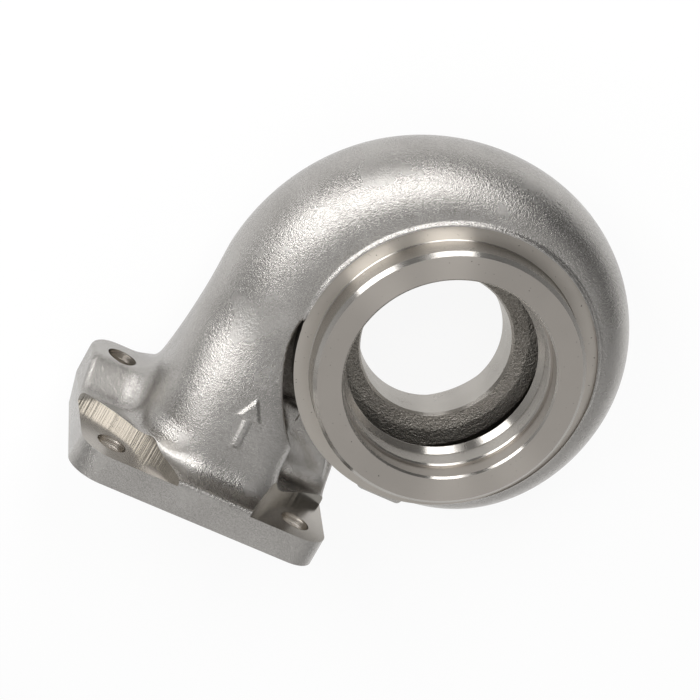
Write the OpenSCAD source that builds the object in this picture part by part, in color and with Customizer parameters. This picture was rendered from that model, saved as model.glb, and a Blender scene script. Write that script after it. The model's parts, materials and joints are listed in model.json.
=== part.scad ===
// Turbocharger turbine housing: one investment casting, machined on its faces and bores.
// Z is the turbine axis and points to the centre housing. The origin lies on that axis at the
// outlet face, which is also what the housing stands on. The inlet flange faces -Y, and its
// long side runs along X.

/* [Centre housing side] */
// Height of the register's front face above the outlet face
face_z = 78; // [76:0.5:84]
// Diameter of the flat shoulder round the register
shoulder_d = 124.6; // [122:0.2:126]
// Depth of the shoulder below the front face
shoulder_drop = 12.5; // [11:0.5:14]
// Thickness of the shoulder's rim
shoulder_rim = 7; // [5:0.5:9]
// Diameter of the raised register that locates the centre housing
register_d = 111.8; // [109:0.2:114]
// Bevel on the register's outer edge
register_bevel = 1.6; // [0.5:0.1:2.4]
// Diameter of the bore that seats the centre housing
seat_d = 87.2; // [86:0.2:89]
// Depth of that bore
seat_depth = 9; // [7:0.5:11]
// Bevel at the bore's mouth
seat_bevel = 0.8; // [0.3:0.1:1.2]
// Diameter of the heat shield's bore, behind the seat
shield_d = 84.2; // [82:0.2:85]

/* [Volute slot and throat] */
// Depth of the slot's front lip below the front face
slot_depth = 21.2; // [20:0.2:23]
// Width of the slot through which the gas reaches the turbine wheel
slot_w = 12.9; // [11:0.1:14]
// Diameter of the slot's front lip
slot_lip_d = 79.6; // [78.6:0.2:81]
// Diameter of the slot's rear edge
shroud_d = 76.6; // [74:0.2:78]
// Fall of the rough cast face between the slot's rear edge and the throat
shroud_fall = 1.3; // [0.5:0.1:2.5]
// Diameter at which the machined throat starts
throat_mouth_d = 65.2; // [63:0.2:67]
// Diameter of the throat at its narrow end
throat_d = 61; // [58:0.2:62]
// Length of the throat's contour
throat_l = 16.6; // [14:0.2:20]

/* [Outlet] */
// Diameter of the outlet's bore at its face
outlet_bore_d = 86; // [84:0.5:88]
// Depth of that bore, from which a cone leads up to the throat
outlet_bore_depth = 14; // [10:0.5:15]
// Outer diameter of the tube behind the outlet rim
outlet_tube_d = 95; // [94:0.5:97]
// Diameter of the rim that a V-band clamp grips
outlet_rim_d = 104; // [102:0.5:107]
// Thickness of that rim at its edge
outlet_rim_h = 3.5; // [3:0.5:4]
// Slope of the rim's clamping face
outlet_rim_slope = 20; // [15:1:25]
// Length of the groove that the clamp's jaw reaches into
outlet_groove = 4.4; // [3.8:0.2:5]

/* [Scroll] */
// Reach of the scroll from the turbine axis at its start, on the inlet side
reach_start = 96.5; // [94:0.5:99]
// Reach an eighth of a turn further
reach_1 = 92.5; // [90:0.5:94]
// Reach a quarter of a turn from the start
reach_2 = 86; // [83:0.5:89]
// Reach three eighths of a turn from the start
reach_3 = 81; // [79:0.5:84]
// Reach half a turn from the start
reach_4 = 78; // [76:0.5:80]
// Reach five eighths of a turn from the start
reach_5 = 74; // [71:0.5:76]
// Reach three quarters of a turn from the start
reach_6 = 64.5; // [62:0.5:68]
// Reach at the tongue, where the scroll closes on the duct
reach_tongue = 57; // [55:0.5:60]
// Radius of the scroll's inner side, which stays the same all round
scroll_inner_r = 39; // [38:0.5:41]
// Depth of the scroll's crown below the front face
crown_drop = 11; // [10:0.5:13]
// Wall of the scroll and the duct
wall = 5; // [3.5:0.5:6]

/* [Inlet duct] */
// Half width of the duct at its foot, along X
foot_half_w = 30; // [28:0.5:32]
// Half height of the duct at its foot, along Z
foot_half_h = 25.5; // [24:0.5:27]
// Squareness of the duct's foot, from 2 for an ellipse upwards
foot_square = 5.4; // [3:0.1:6]
// Squareness of its front outer corner, which is rounder and clears the bolt-head pocket
foot_corner = 2.4; // [2:0.1:4]
// Radius of the fillet between the duct and its flange
foot_fillet = 9; // [4:0.5:9.5]
// Reach of the flare that carries the duct's rear wall to the flange's rear edge
rear_flare = 13; // [6:0.5:13.5]
// Length of that flare, from the top of the flange's rear half upwards
rear_flare_l = 36; // [28:1:40]
// Reach of the fillet between the duct's outer side and the flange's rear half
side_fillet = 4; // [2:0.5:6]
// Length of the gas port at the gasket face
port_l = 57; // [52:0.5:60]
// Width of the gas port at the gasket face
port_w = 46; // [42:0.5:48]

/* [Inlet flange] */
// Distance of the flange's middle from the turbine axis, along X
flange_x = 68.4; // [66:0.2:70]
// Depth of the flange's middle below the front face
flange_drop = 28; // [26:0.5:30]
// Distance of the gasket face from the turbine axis
gasket_y = 95.8; // [93:0.2:99]
// Length of the flange
flange_l = 111; // [109:0.5:114]
// Width of the flange
flange_w = 79; // [77:0.5:82]
// Radius of the flange's corners
flange_r = 13; // [10:0.5:14]
// Sideways shift of the flange's rear corners, which skews its outline
flange_skew = 3.6; // [0:0.2:5]
// Height at which the outer end is square again, above the gasket face
skew_h = 14; // [10:1:20]
// Distance between the bolt holes along the flange
bolt_l = 84; // [83:0.2:85]
// Distance between the bolt holes across the flange
bolt_w = 50; // [49:0.2:51]
// Diameter of the bolt holes
bolt_d = 12.6; // [10.5:0.1:13]
// Thickness of the flange under the two front bolt heads
spot_h = 12; // [10:0.5:13]
// Thickness of the flange along the middle of its front edge
front_h = 14.6; // [14:0.2:17]
// Thickness of the flange where the pockets end
middle_h = 16.2; // [15.5:0.2:18]
// Thickness of the flange's rear half, which carries the two rear bolts
rear_h = 29; // [27:0.5:32]
// Radius of the cutter path that clears the front bolt heads
pocket_r = 62; // [58:1:66]
// Height of the wall that the cutter leaves, measured from its floor
pocket_h = 11; // [9:0.5:13]

/* [Web and lug] */
// Thickness of the web between the flange and the scroll
web_t = 10; // [8:1:10]
// Depth of the web's front face below the front face of the register
web_drop = 36; // [34:0.5:40]
// Radius of the notch between the web and the shoulder
notch_r = 9; // [7:0.5:11]
// Width of the small lug under the shoulder
lug_w = 21; // [16:1:24]
// Distance of the lug's end from the turbine axis
lug_reach = 64.5; // [63:0.5:68]

/* [Hidden] */
cast_steel = "darkgray";
flange_z = face_z - flange_drop;
spot_y = spot_h - gasket_y;
slot_z = face_z - slot_depth - slot_w;
// The slot is cut this far past the scroll's inner radius, well into the gas passage
slot_into_scroll = 11;
slot_middle_drop = slot_depth + slot_w / 2;
// The duct turns into the scroll at duct_angle, and the scroll ends at tongue_angle
duct_angle = 180;
tongue_angle = -155;
join_angle = 90;
reaches = [reach_start, reach_1, reach_2, reach_3, reach_4, reach_5, reach_6, reach_tongue];
reach_gap = 45;
// Middles of the two cutter paths that clear the front bolt heads, seen from the flange's middle
pocket_middles = [[-73.6, 55], [79.4, 55]];
// Fineness of the skins
section_sides = 28;
passage_sides = 20;
scroll_step = 7.5;
passage_step = 10;

function clamp01(x) = min(1, max(0, x));
function smooth(x) = let (t = clamp01(x)) t * t * (3 - 2 * t);
function mix(a, b, t) = a + (b - a) * t;
function last(v) = len(v) - 1;

// Reach of the scroll at an angle: a smooth curve through the values given every eighth turn
function knot(i) = reaches[min(last(reaches), max(0, i))];
function before(i) = i < 0 ? 2 * knot(0) - knot(1) : knot(i);
function after(i) = i > last(reaches) ? 2 * knot(last(reaches)) - knot(last(reaches) - 1) : knot(i);
function spline(a, b, c, d, u) =
    0.5 * (2 * b + (c - a) * u + (2 * a - 5 * b + 4 * c - d) * u * u + (3 * b - a - 3 * c + d) * u * u * u);
function reach(angle) =
    let (x = (duct_angle - angle) / reach_gap, i = min(last(reaches) - 1, max(0, floor(x))))
    spline(before(i - 1), knot(i), knot(i + 1), after(i + 2), x - i);

// Size and place of the scroll's section: its crown stays level while it is large, and its
// middle settles on the slot's middle as it shrinks
function section_r(angle) = (reach(angle) - scroll_inner_r) / 2;
function section_drop(angle) =
    let (spare = section_r(angle) + crown_drop - slot_middle_drop)
    slot_middle_drop + (spare + sqrt(spare * spare + 9)) / 2;

// A station of a sweep is [middle, outward axis, half width, half height, squareness, squareness of
// the front outer corner]; grow moves its outline outwards
function scroll_station(angle, grow = 0) =
    let (r = scroll_inner_r + section_r(angle), out = [cos(angle), sin(angle), 0])
    [r * out + [0, 0, face_z - section_drop(angle)], out,
     section_r(angle) + grow, section_r(angle) + grow, 2, 2];
function duct_station(y, grow = 0) =
    let (t = smooth((y - spot_y) / -spot_y), round = smooth((y - spot_y) / (-spot_y - spot_h)),
         start = scroll_station(duct_angle))
    [[mix(-flange_x, start[0][0], t), y, mix(flange_z, start[0][2], t)], [-1, 0, 0],
     mix(foot_half_w, start[2], t) + grow, mix(foot_half_h, start[3], t) + grow,
     mix(foot_square, 2, round), mix(foot_corner, 2, round)];
// What a flare of the given reach still adds at y, above the flange's rear half
function flare(reach, length, y) = reach * pow(1 - clamp01((y + gasket_y - rear_h) / length), 2);
// Station of the duct's outer form, with the flare at its rear and the fillet at its outer side
function foot_station(y, grow = 0) =
    let (s = duct_station(y, grow), side = max(0, flare(side_fillet, 2 * side_fillet, y) - grow),
         rear = max(0, flare(rear_flare, rear_flare_l, y) - grow))
    [s[0] - [side / 2, 0, rear / 2], s[1], s[2] + side / 2, s[3] + rear / 2, s[4], s[5]];
// Station of the gas passage, which opens to the port's size inside the flange
function port_station(y) =
    let (s = duct_station(y, -wall), t = smooth((y + gasket_y) / front_h))
    [s[0], s[1], mix(port_l / 2, s[2], t), mix(port_w / 2, s[3], t), s[4], mix(s[4], s[5], t)];

function section_point(s, angle) =
    let (c = cos(angle), v = sin(angle), q = c > 0 && v > 0 ? s[5] : s[4],
         n = pow(pow(abs(c), q) + pow(abs(v), q), -1 / q))
    s[0] + s[1] * s[2] * n * c + [0, 0, s[3] * n * v];

// Closed skin over a list of stations
module sweep(stations, sides) {
    points = [for (s = stations, k = [0 : sides - 1]) section_point(s, 360 * (k + 0.5) / sides)];
    skin = [for (i = [0 : last(stations) - 1], k = [0 : sides - 1], half = [0, 1])
        let (a = i * sides + k, b = i * sides + (k + 1) % sides)
        half == 0 ? [a, b + sides, b] : [a, a + sides, b + sides]];
    first_cap = [for (k = [0 : sides - 1]) k];
    last_cap = [for (k = [sides - 1 : -1 : 0]) last(stations) * sides + k];
    polyhedron(points, concat(skin, [first_cap, last_cap]));
}

// Outer form of the duct and the first quarter turn, with the fillets at the flange
module duct_form() {
    front_top = front_h - gasket_y;
    rear_top = rear_h - gasket_y;
    in_flange = 3;
    sweep(concat(
        [foot_station(in_flange - gasket_y, foot_fillet)],
        [for (a = [0 : 22.5 : 90])
            foot_station(front_top + foot_fillet * (1 - cos(a)), foot_fillet * (1 - sin(a)))],
        [for (up = [0, 3, 8, 15, 24, 36, 46, 56]) foot_station(rear_top + up)],
        [for (a = [duct_angle : -scroll_step : join_angle]) scroll_station(a)]), section_sides);
}

// Outer form of the rest of the scroll
module scroll_form() {
    sweep([for (a = [join_angle : -scroll_step : tongue_angle]) scroll_station(a)], section_sides);
}

// Gas passage inside the duct and the first quarter turn
module duct_passage() {
    step = 12;
    past_face = [0, -1, 0];
    port = port_station(-gasket_y);
    sweep(concat(
        [[port[0] + past_face, port[1], port[2], port[3], port[4], port[5]]],
        [for (y = [-gasket_y : step / 3 : front_h - gasket_y]) port_station(y)],
        [for (y = [front_h - gasket_y + step : step : -step / 2]) port_station(y)],
        [for (a = [duct_angle : -passage_step : join_angle]) scroll_station(a, -wall)]), passage_sides);
}

// Gas passage inside the rest of the scroll
module scroll_passage() {
    sweep([for (a = [join_angle : -passage_step : tongue_angle]) scroll_station(a, -wall)], passage_sides);
}

// Round body on the turbine axis: register, shoulder, throat tube and outlet rim
module round_form() {
    rim_top = outlet_rim_h + (outlet_rim_d - outlet_tube_d) / 2 * tan(outlet_rim_slope);
    shoulder_z = face_z - shoulder_drop;
    neck_r = scroll_inner_r + 6;
    neck_l = 10;
    rotate_extrude($fn = 96)
        polygon([
            [0, 0], [outlet_rim_d / 2, 0], [outlet_rim_d / 2, outlet_rim_h],
            [outlet_tube_d / 2, rim_top], [outlet_tube_d / 2, rim_top + outlet_groove],
            [neck_r, slot_z - 4 - neck_l], [neck_r, slot_z - 4],
            [shoulder_d / 2, shoulder_z - shoulder_rim], [shoulder_d / 2, shoulder_z],
            [register_d / 2, shoulder_z], [register_d / 2, face_z - register_bevel],
            [register_d / 2 - register_bevel, face_z], [0, face_z]]);
}

// Bores on the turbine axis, from the outlet face up to the seat
module round_bores() {
    over = 1;
    lip_top = face_z - slot_depth + (shield_d - slot_lip_d) / 2;
    throat_top = slot_z - shroud_fall;
    contour_r = throat_d / 2 + 0.5;
    slot_out_r = scroll_inner_r + slot_into_scroll;
    rotate_extrude($fn = 96)
        polygon([
            [0, -over], [outlet_bore_d / 2, -over], [outlet_bore_d / 2, outlet_bore_depth],
            [throat_d / 2, throat_top - throat_l], [contour_r, throat_top - throat_l / 2],
            [throat_mouth_d / 2, throat_top], [shroud_d / 2, slot_z],
            [slot_out_r, slot_z], [slot_out_r, slot_z + slot_w], [slot_lip_d / 2, slot_z + slot_w],
            [shield_d / 2, lip_top], [shield_d / 2, face_z - seat_depth],
            [seat_d / 2, face_z - seat_depth], [seat_d / 2, face_z - seat_bevel],
            [seat_d / 2 + seat_bevel, face_z], [seat_d / 2 + seat_bevel, face_z + over],
            [0, face_z + over]]);
}

// Room above the shoulder, cleared round the register
module shoulder_clearance() {
    height = 30;
    translate([0, 0, face_z - shoulder_drop])
        difference() {
            cylinder(height, d = shoulder_d, $fn = 96);
            translate([0, 0, -1]) cylinder(height + 2, d = register_d, $fn = 96);
        }
}

// Places its children at the flange's middle on the gasket face, with Y towards the turbine
module at_flange() {
    translate([-flange_x, -gasket_y, flange_z]) children();
}

// Outline with round corners; the rear ones are shifted by the given amounts
module flange_outline(outer_shift, inner_shift) {
    half_l = flange_l / 2 - flange_r;
    half_w = flange_w / 2 - flange_r;
    hull()
        for (corner = [[-half_l, half_w], [half_l, half_w],
                       [outer_shift - half_l, -half_w], [inner_shift + half_l, -half_w]])
            translate(corner) circle(flange_r, $fn = 48);
}

// Block that the flange is cut from: skewed at the gasket face, square at its outer end above
module flange_block() {
    thin = 0.01;
    rotate([-90, 0, 0]) mirror([0, 1, 0])
        hull() {
            linear_extrude(thin) flange_outline(flange_skew, flange_skew);
            translate([0, 0, skew_h]) linear_extrude(rear_h - skew_h) flange_outline(0, flange_skew);
        }
}

// Flange seen from its end: thin in front, thick behind, with a smooth rise between
module flange_profile() {
    half = flange_w / 2;
    rise_start = -3;
    rise_end = -20;
    bevel = 3;
    rise = [for (t = [0 : 0.125 : 1]) [mix(rise_start, rise_end, t), mix(middle_h, rear_h, smooth(t))]];
    polygon(concat([[half, 0], [half, front_h - 1], [half - 1, front_h]], rise,
        [[bevel - half, rear_h], [-half, rear_h - bevel], [-half, 0]]));
}

module inlet_flange_form() {
    at_flange()
        intersection() {
            flange_block();
            rotate([0, -90, 0]) translate([0, 0, -flange_l]) linear_extrude(2 * flange_l) flange_profile();
        }
}

// Clearance for the two front bolt heads, milled down to a flat floor
module bolt_head_pockets() {
    at_flange()
        for (p = pocket_middles)
            translate([p[0], spot_h, p[1]]) rotate([-90, 0, 0]) cylinder(pocket_h, r = pocket_r, $fn = 96);
}

module bolt_holes() {
    over = 1;
    clear_of_fillets = 8;
    at_flange()
        for (x = [-1, 1], z = [-1, 1])
            translate([x * bolt_l / 2, -over, z * bolt_w / 2])
                rotate([-90, 0, 0]) cylinder(rear_h + over + clear_of_fillets, d = bolt_d, $fn = 48);
}

// Web that ties the flange's inner end to the underside of the scroll
module web_form() {
    right = flange_l / 2 - flange_x - 1;
    left = 10 - flange_x;
    foot = spot_y + 2;
    top = -scroll_inner_r - 10;
    translate([0, 0, face_z - web_drop - web_t])
        linear_extrude(web_t)
            difference() {
                polygon([[left, foot], [right, foot], [right, top], [left, top]]);
                translate([right + notch_r - 2, foot + notch_r + 9]) circle(notch_r, $fn = 48);
            }
}

// Small lug under the shoulder, opposite the scroll's widest part
module lug_form() {
    middle_x = 4;
    height = 10;
    corner = 2;
    half = lug_w / 2;
    translate([middle_x, 0, face_z - shoulder_drop - shoulder_rim - height + 4])
        linear_extrude(height)
            polygon([
                [-half, -scroll_inner_r], [-half, corner - lug_reach], [corner - half, -lug_reach],
                [half - corner, -lug_reach], [half, corner - lug_reach], [half, -scroll_inner_r]]);
}

module turbine_housing() {
    color(cast_steel)
        difference() {
            union() {
                duct_form();
                scroll_form();
                round_form();
                inlet_flange_form();
                web_form();
                lug_form();
            }
            duct_passage();
            scroll_passage();
            round_bores();
            shoulder_clearance();
            bolt_head_pockets();
            bolt_holes();
        }
}

turbine_housing();
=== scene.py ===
# %% [markdown]
# # A turbine housing, cast and then machined
# This notebook dresses one part: the turbine housing of a turbocharger. The real one is poured in
# stainless steel round a wax pattern, blasted clean, and then machined where other parts meet it.
# The script follows the same order: a soft cast body first, then crisp cuts, then the finishes.

# %% Load the frame
import json
import math
import bpy
import numpy as np
import openvdb
from mathutils import Matrix, Vector


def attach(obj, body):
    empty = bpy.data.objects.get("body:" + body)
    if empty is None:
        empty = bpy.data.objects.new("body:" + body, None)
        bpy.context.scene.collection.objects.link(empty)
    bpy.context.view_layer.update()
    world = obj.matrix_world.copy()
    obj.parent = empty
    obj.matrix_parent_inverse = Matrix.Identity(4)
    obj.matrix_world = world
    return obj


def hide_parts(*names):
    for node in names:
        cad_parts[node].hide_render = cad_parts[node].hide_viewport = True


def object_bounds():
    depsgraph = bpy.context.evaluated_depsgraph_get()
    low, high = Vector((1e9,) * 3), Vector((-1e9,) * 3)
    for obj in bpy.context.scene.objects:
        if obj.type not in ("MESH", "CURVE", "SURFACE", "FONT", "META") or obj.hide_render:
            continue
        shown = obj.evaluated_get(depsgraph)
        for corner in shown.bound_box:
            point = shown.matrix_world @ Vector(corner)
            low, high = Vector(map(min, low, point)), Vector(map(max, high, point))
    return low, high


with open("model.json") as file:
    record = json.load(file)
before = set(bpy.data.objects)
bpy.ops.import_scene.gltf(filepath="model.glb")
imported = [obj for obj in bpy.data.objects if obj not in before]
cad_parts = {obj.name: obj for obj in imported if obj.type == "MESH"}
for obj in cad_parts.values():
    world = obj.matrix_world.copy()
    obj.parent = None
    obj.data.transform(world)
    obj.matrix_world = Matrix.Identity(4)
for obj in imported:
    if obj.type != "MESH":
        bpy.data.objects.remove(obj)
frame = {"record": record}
cad_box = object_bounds()
MM = 0.001
print("CAD box, mm:", [[round(v / MM, 1) for v in corner] for corner in cad_box])

# %% [markdown]
# ## Sizes
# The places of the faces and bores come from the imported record, so the looks follow the solid. The
# rest are the sizes that a foundry drawing would give, in millimetres, in the part's own axes: Z is
# the turbine axis, and the inlet flange faces -Y.

# %% Places that the record gives
mounts = {m["name"]: m for m in frame["record"]["mounts"]}
FACE_Z = mounts["centre_housing_face"]["pos_m"][2] / MM
FLANGE_X, GASKET_Y, FLANGE_Z = [v / MM for v in mounts["inlet_bolts"]["pos_m"]]
BOLT_L = mounts["inlet_bolts"]["dims"]["spacing_x_mm"]
BOLT_W = mounts["inlet_bolts"]["dims"]["spacing_y_mm"]
BOLT_R = mounts["inlet_bolts"]["dims"]["hole_r_mm"]
SEAT_R = mounts["centre_housing_seat"]["dims"]["r_mm"]
OUTLET_R = mounts["outlet_bore"]["dims"]["r_mm"]
OUTLET_DEPTH = mounts["outlet_bore"]["dims"]["length_mm"]
print("register face at z", FACE_Z, "mm, flange middle at", FLANGE_X, GASKET_Y, FLANGE_Z)

# %% Sizes of the castings and cuts
SHOULDER_R, SHOULDER_Z, SHOULDER_RIM = 62.3, FACE_Z - 12.5, 7.0
REGISTER_R, REGISTER_BEVEL = 55.9, 1.6
SEAT_DEPTH, SEAT_BEVEL, SHIELD_R = 9.0, 0.8, 42.1
SLOT_DEPTH, SLOT_W, SLOT_LIP_R, SHROUD_R = 21.2, 12.9, 39.8, 38.3
THROAT_MOUTH_R, THROAT_R, THROAT_L, SHROUD_FALL = 32.6, 30.5, 16.6, 1.3
SLOT_Z = FACE_Z - SLOT_DEPTH - SLOT_W
RIM_R, RIM_H, TUBE_R, RIM_SLOPE, GROOVE = 52.0, 3.5, 47.5, math.radians(20), 4.4
REACHES = [96.5, 92.5, 86.0, 81.0, 78.0, 74.0, 64.5, 57.0]
INNER_R, CROWN_DROP, WALL = 39.0, 11.0, 5.0
INSIDE = 0.25  # keeps the smooth scroll within the solid's box
FOOT_HALF_W, FOOT_HALF_H, FOOT_SQUARE, FOOT_CORNER, FOOT_FILLET = 30.0, 25.5, 5.4, 2.4, 10.6
REAR_FLARE, REAR_FLARE_L, FLARE_START = 13.0, 36.0, 8.0
NECK_DIP, NECK_Y, NECK_L, NECK_END = 2.4, -24.0, 17.0, -12.0
PORT_HALF_L, PORT_HALF_W = 28.5, 23.0
FLANGE_L, FLANGE_W, FLANGE_R, FLANGE_SKEW, SKEW_H = 111.0, 79.0, 13.0, 3.6, 14.0
SPOT_H, FRONT_H, MIDDLE_H, REAR_H = 12.0, 14.6, 16.2, 29.0
SPOT_Y = GASKET_Y + SPOT_H

# %% [markdown]
# ## The cast body as a field
# A casting has no hard inside corners: every meeting of two forms is filled with a fillet. A mesh
# of separate tubes and blocks would need each fillet drawn by hand. Here each form is a field, a
# number at every point of a grid that says how far that point lies outside the form. Two fields
# melt into one with a soft minimum, and that makes the fillet.

# %% Field helpers
VOXEL = 0.8
STOCK = 1.5  # metal that the casting keeps for the lathe and the mill
OUTSIDE = 40  # where a form ends at a plane, the field says that the rest is far outside


def mix(a, b, t):
    return a + (b - a) * t


def smooth(x):
    """From 0 to 1 with level ends."""
    t = np.clip(x, 0, 1)
    return t * t * (3 - 2 * t)


def ramp(x, start, end):
    """0 up to the start, 1 past the end and smooth between them."""
    return smooth((x - start) / (end - start))


def melt(a, b, size):
    """Union of two fields with a fillet about as wide as size."""
    h = np.clip(0.5 + 0.5 * (b - a) / size, 0, 1)
    return mix(b, a, h) - size * h * (1 - h)


def keep_both(a, b, size):
    """What two fields have in common, with a rounded edge."""
    return -melt(-a, -b, size)


def cut_away(a, b, size):
    """The first field without the second, with a rounded edge."""
    return keep_both(a, -b, size)


def box_field(u, v, half_u, half_v, r):
    """Distance outside a flat box with round corners."""
    du = np.abs(u) - half_u + r
    dv = np.abs(v) - half_v + r
    beside = np.minimum(np.maximum(du, dv), 0)
    return np.hypot(np.maximum(du, 0), np.maximum(dv, 0)) + beside - r


def profile_field(points, u, v):
    """Distance outside a closed outline, measured to its nearest side."""
    nearest = np.full(u.shape, 1e9, np.float32)
    inside = np.zeros(u.shape, bool)
    for (u0, v0), (u1, v1) in zip(points, points[1:] + points[:1]):
        du, dv = u1 - u0, v1 - v0
        t = np.clip(((u - u0) * du + (v - v0) * dv) / (du * du + dv * dv), 0, 1)
        nearest = np.minimum(nearest, (u - u0 - t * du) ** 2 + (v - v0 - t * dv) ** 2)
        if dv:
            crosses = (v0 > v) != (v1 > v)
            inside ^= crosses & (u < u0 + (v - v0) / dv * du)
    return np.where(inside, -1, 1) * np.sqrt(nearest)


# %% The grid that the fields live on
margin = 3 * VOXEL
low = [v / MM - margin for v in cad_box[0]]
high = [v / MM + margin for v in cad_box[1]]
axes = [np.arange(a, b, VOXEL, dtype=np.float32) for a, b in zip(low, high)]
X, Y, Z = np.meshgrid(*axes, indexing="ij")
RADIUS = np.hypot(X, Y)
print("grid of", X.shape, "points,", VOXEL, "mm apart")

# %% [markdown]
# ## The scroll
# The scroll is a round tube whose section shrinks all the way round, so that the gas keeps its
# speed as it leaks inwards. Its reach is given every eighth of a turn, and a smooth curve through
# those values gives the rest. At each point of the grid the section that passes there is worked out
# from the point's angle, so no sweep or loft is needed.


# %% Reach of the scroll
def knot(i):
    """Reach at every eighth of a turn, carried on in a straight line past both ends."""
    last = len(REACHES) - 1
    if i < 0:
        return 2 * REACHES[0] - REACHES[1]
    if i > last:
        return 2 * REACHES[last] - REACHES[last - 1]
    return REACHES[i]


def reach(turn):
    """Reach of the scroll after so many degrees from its start, by a Catmull-Rom curve."""
    i = min(len(REACHES) - 2, int(turn / 45))
    u = turn / 45 - i
    a, b, c, d = (knot(i + k) for k in (-1, 0, 1, 2))
    bend, twist = 2 * a - 5 * b + 4 * c - d, 3 * b - a - 3 * c + d
    return 0.5 * (2 * b + (c - a) * u + bend * u ** 2 + twist * u ** 3)


print("reach after a quarter and half a turn:", round(reach(90.0), 1), round(reach(180.0), 1), "mm")

# %% Section of the scroll
SCROLL_TURN = 336  # degrees: the scroll's tail ends just before its start
LEVEL_BLEND = 3.0


def crown_to_middle(size):
    """Depth of a section's middle under the register face: level crown, then the slot's middle."""
    slot_middle = SLOT_DEPTH + SLOT_W / 2
    spare = size + CROWN_DROP - slot_middle
    return slot_middle + (spare + np.sqrt(spare * spare + LEVEL_BLEND ** 2)) / 2


def scroll_field():
    turns = np.arange(0, SCROLL_TURN)
    sizes = [(reach(float(t)) - INNER_R) / 2 for t in turns]
    turn = (180 - np.degrees(np.arctan2(Y, X))) % 360
    size = np.interp(turn, turns, sizes).astype(np.float32)
    return np.hypot(RADIUS - INNER_R - size, Z - FACE_Z + crown_to_middle(size)) - size + INSIDE


scroll = scroll_field()
print("scroll done")

# %% [markdown]
# ## The duct
# The duct leads from the flange's nearly square port into the round scroll. A loft between two
# outlines could make it, but its rear flares out to the flange and its neck dips in front. As a
# field, each of these is one more term: the section is a superellipse, and its middle, its two half
# widths and its squareness all change along Y. The same function makes the gas passage inside.


# %% Duct and gas passage
ROUND = 2  # exponent of a superellipse that is an ellipse
SNAIL_FILLET, PASSAGE_FILLET = 6.0, 3.0


def duct_field(port=False):
    """The duct: round where it joins the scroll and nearly square at the flange."""
    start = (REACHES[0] - INNER_R) / 2
    t = ramp(Y, SPOT_Y, 0)
    middle_x = mix(FLANGE_X, -INNER_R - start, t)
    middle_z = mix(FLANGE_Z, FACE_Z - crown_to_middle(start), t)
    half_w, half_h = mix(FOOT_HALF_W, start, t), mix(FOOT_HALF_H, start, t)
    near = smooth((Y - GASKET_Y) / FRONT_H)
    if port:
        half_w = mix(PORT_HALF_L, half_w - WALL, near)
        half_h = mix(PORT_HALF_W, half_h - WALL, near)
    else:
        up = Y - GASKET_Y - REAR_H
        fade = np.clip(1 - up / REAR_FLARE_L, 0, 1) ** 2
        flare = REAR_FLARE * fade * smooth(1 + up / FLARE_START)
        middle_z, half_h = middle_z - flare / 2, half_h + flare / 2
    u, v = X - middle_x, Z - middle_z
    if not port:
        dip = NECK_DIP * np.exp(-((Y - NECK_Y) / NECK_L) ** 2) * ramp(Y, 0, NECK_END)
        half_h = half_h - np.where(v > 0, dip, 0)
    corner = mix(FOOT_SQUARE, FOOT_CORNER, near) if port else FOOT_CORNER
    foot = np.where((u < 0) & (v > 0), corner, FOOT_SQUARE)
    square = mix(foot, ROUND, ramp(Y, SPOT_Y, -SPOT_H))
    size = (np.abs(u / half_w) ** square + np.abs(v / half_h) ** square) ** (1 / square)
    field = np.hypot(u, v) * (1 - 1 / np.maximum(size, 1e-3))
    return np.where((Y <= 0) & (X < 0), field + INSIDE * t, OUTSIDE).astype(np.float32)


snail = melt(scroll, duct_field(), SNAIL_FILLET)
passage = melt(scroll + WALL, duct_field(port=True), PASSAGE_FILLET)
print("duct and passage done, walls", WALL, "mm thick")

# %% [markdown]
# ## Small things on the snail
# Beside the shoulder the real duct is relieved, so that a narrow dark gap opens between the two.
# The gap starts as a point and grows wider towards the flange. Where the lathe later stops, the cast
# skin ends in a thin lip. Each is one more field, because a separate mesh would show a seam.


# %% Relief beside the shoulder
RELIEF_X, RELIEF_Y, RELIEF_R, RELIEF_RIGHT = 17.6, -0.2, 82.2, -36
CLOSE_BY, CLOSE_FROM, CLOSE_TO = 1.6, -22, 4  # the gap closes by so much between these two Y
FLOOR_TOP, FLOOR_FALL, FALL_FROM, FALL_TO = 68.5, 31, 2, -30
RELIEF_EDGE, RELIEF_WALL = 0.8, WALL - 1.5


def relief_field():
    """Room beside the shoulder: right of a wide arc and above a floor that falls to the flange."""
    closing = CLOSE_BY * ramp(Y, CLOSE_FROM, CLOSE_TO)
    arc = np.hypot(X - RELIEF_X, Y - RELIEF_Y) - RELIEF_R + closing
    floor = FLOOR_TOP - FLOOR_FALL * ramp(Y, FALL_FROM, FALL_TO)
    return np.maximum(np.maximum(arc, floor - Z), X - RELIEF_RIGHT)


relief = relief_field()
snail = cut_away(snail, relief, RELIEF_EDGE)
passage = np.maximum(passage, RELIEF_WALL - relief)
print("relief done, with", RELIEF_WALL, "mm of wall left")

# %% Lip round the shoulder
LIP_R, LIP_AWAY, LIP_FROM, LIP_TO, LIP_FILLET = 0.9, 2, -12, 12, 0.8
LIP_BELOW = 2


def lip_field():
    """Bead that follows the line where the snail's skin meets the cut round the shoulder."""
    here = ramp(Y, LIP_FROM, LIP_TO)
    bead = np.hypot(RADIUS - SHOULDER_R - LIP_R, snail) - LIP_R * here + LIP_AWAY * (1 - here)
    return np.maximum(bead, SHOULDER_Z - LIP_BELOW - Z)


snail = melt(snail, lip_field(), LIP_FILLET)
print("lip done, bead", 2 * LIP_R, "mm wide")

# %% [markdown]
# Foundries often raise a mark on the duct. Here it is a plain arrow that shows which way the gas
# flows. It lifts the field where the arrow's own flat field is inside, with sloping sides, as a
# pattern needs so that it leaves the mould.

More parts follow.
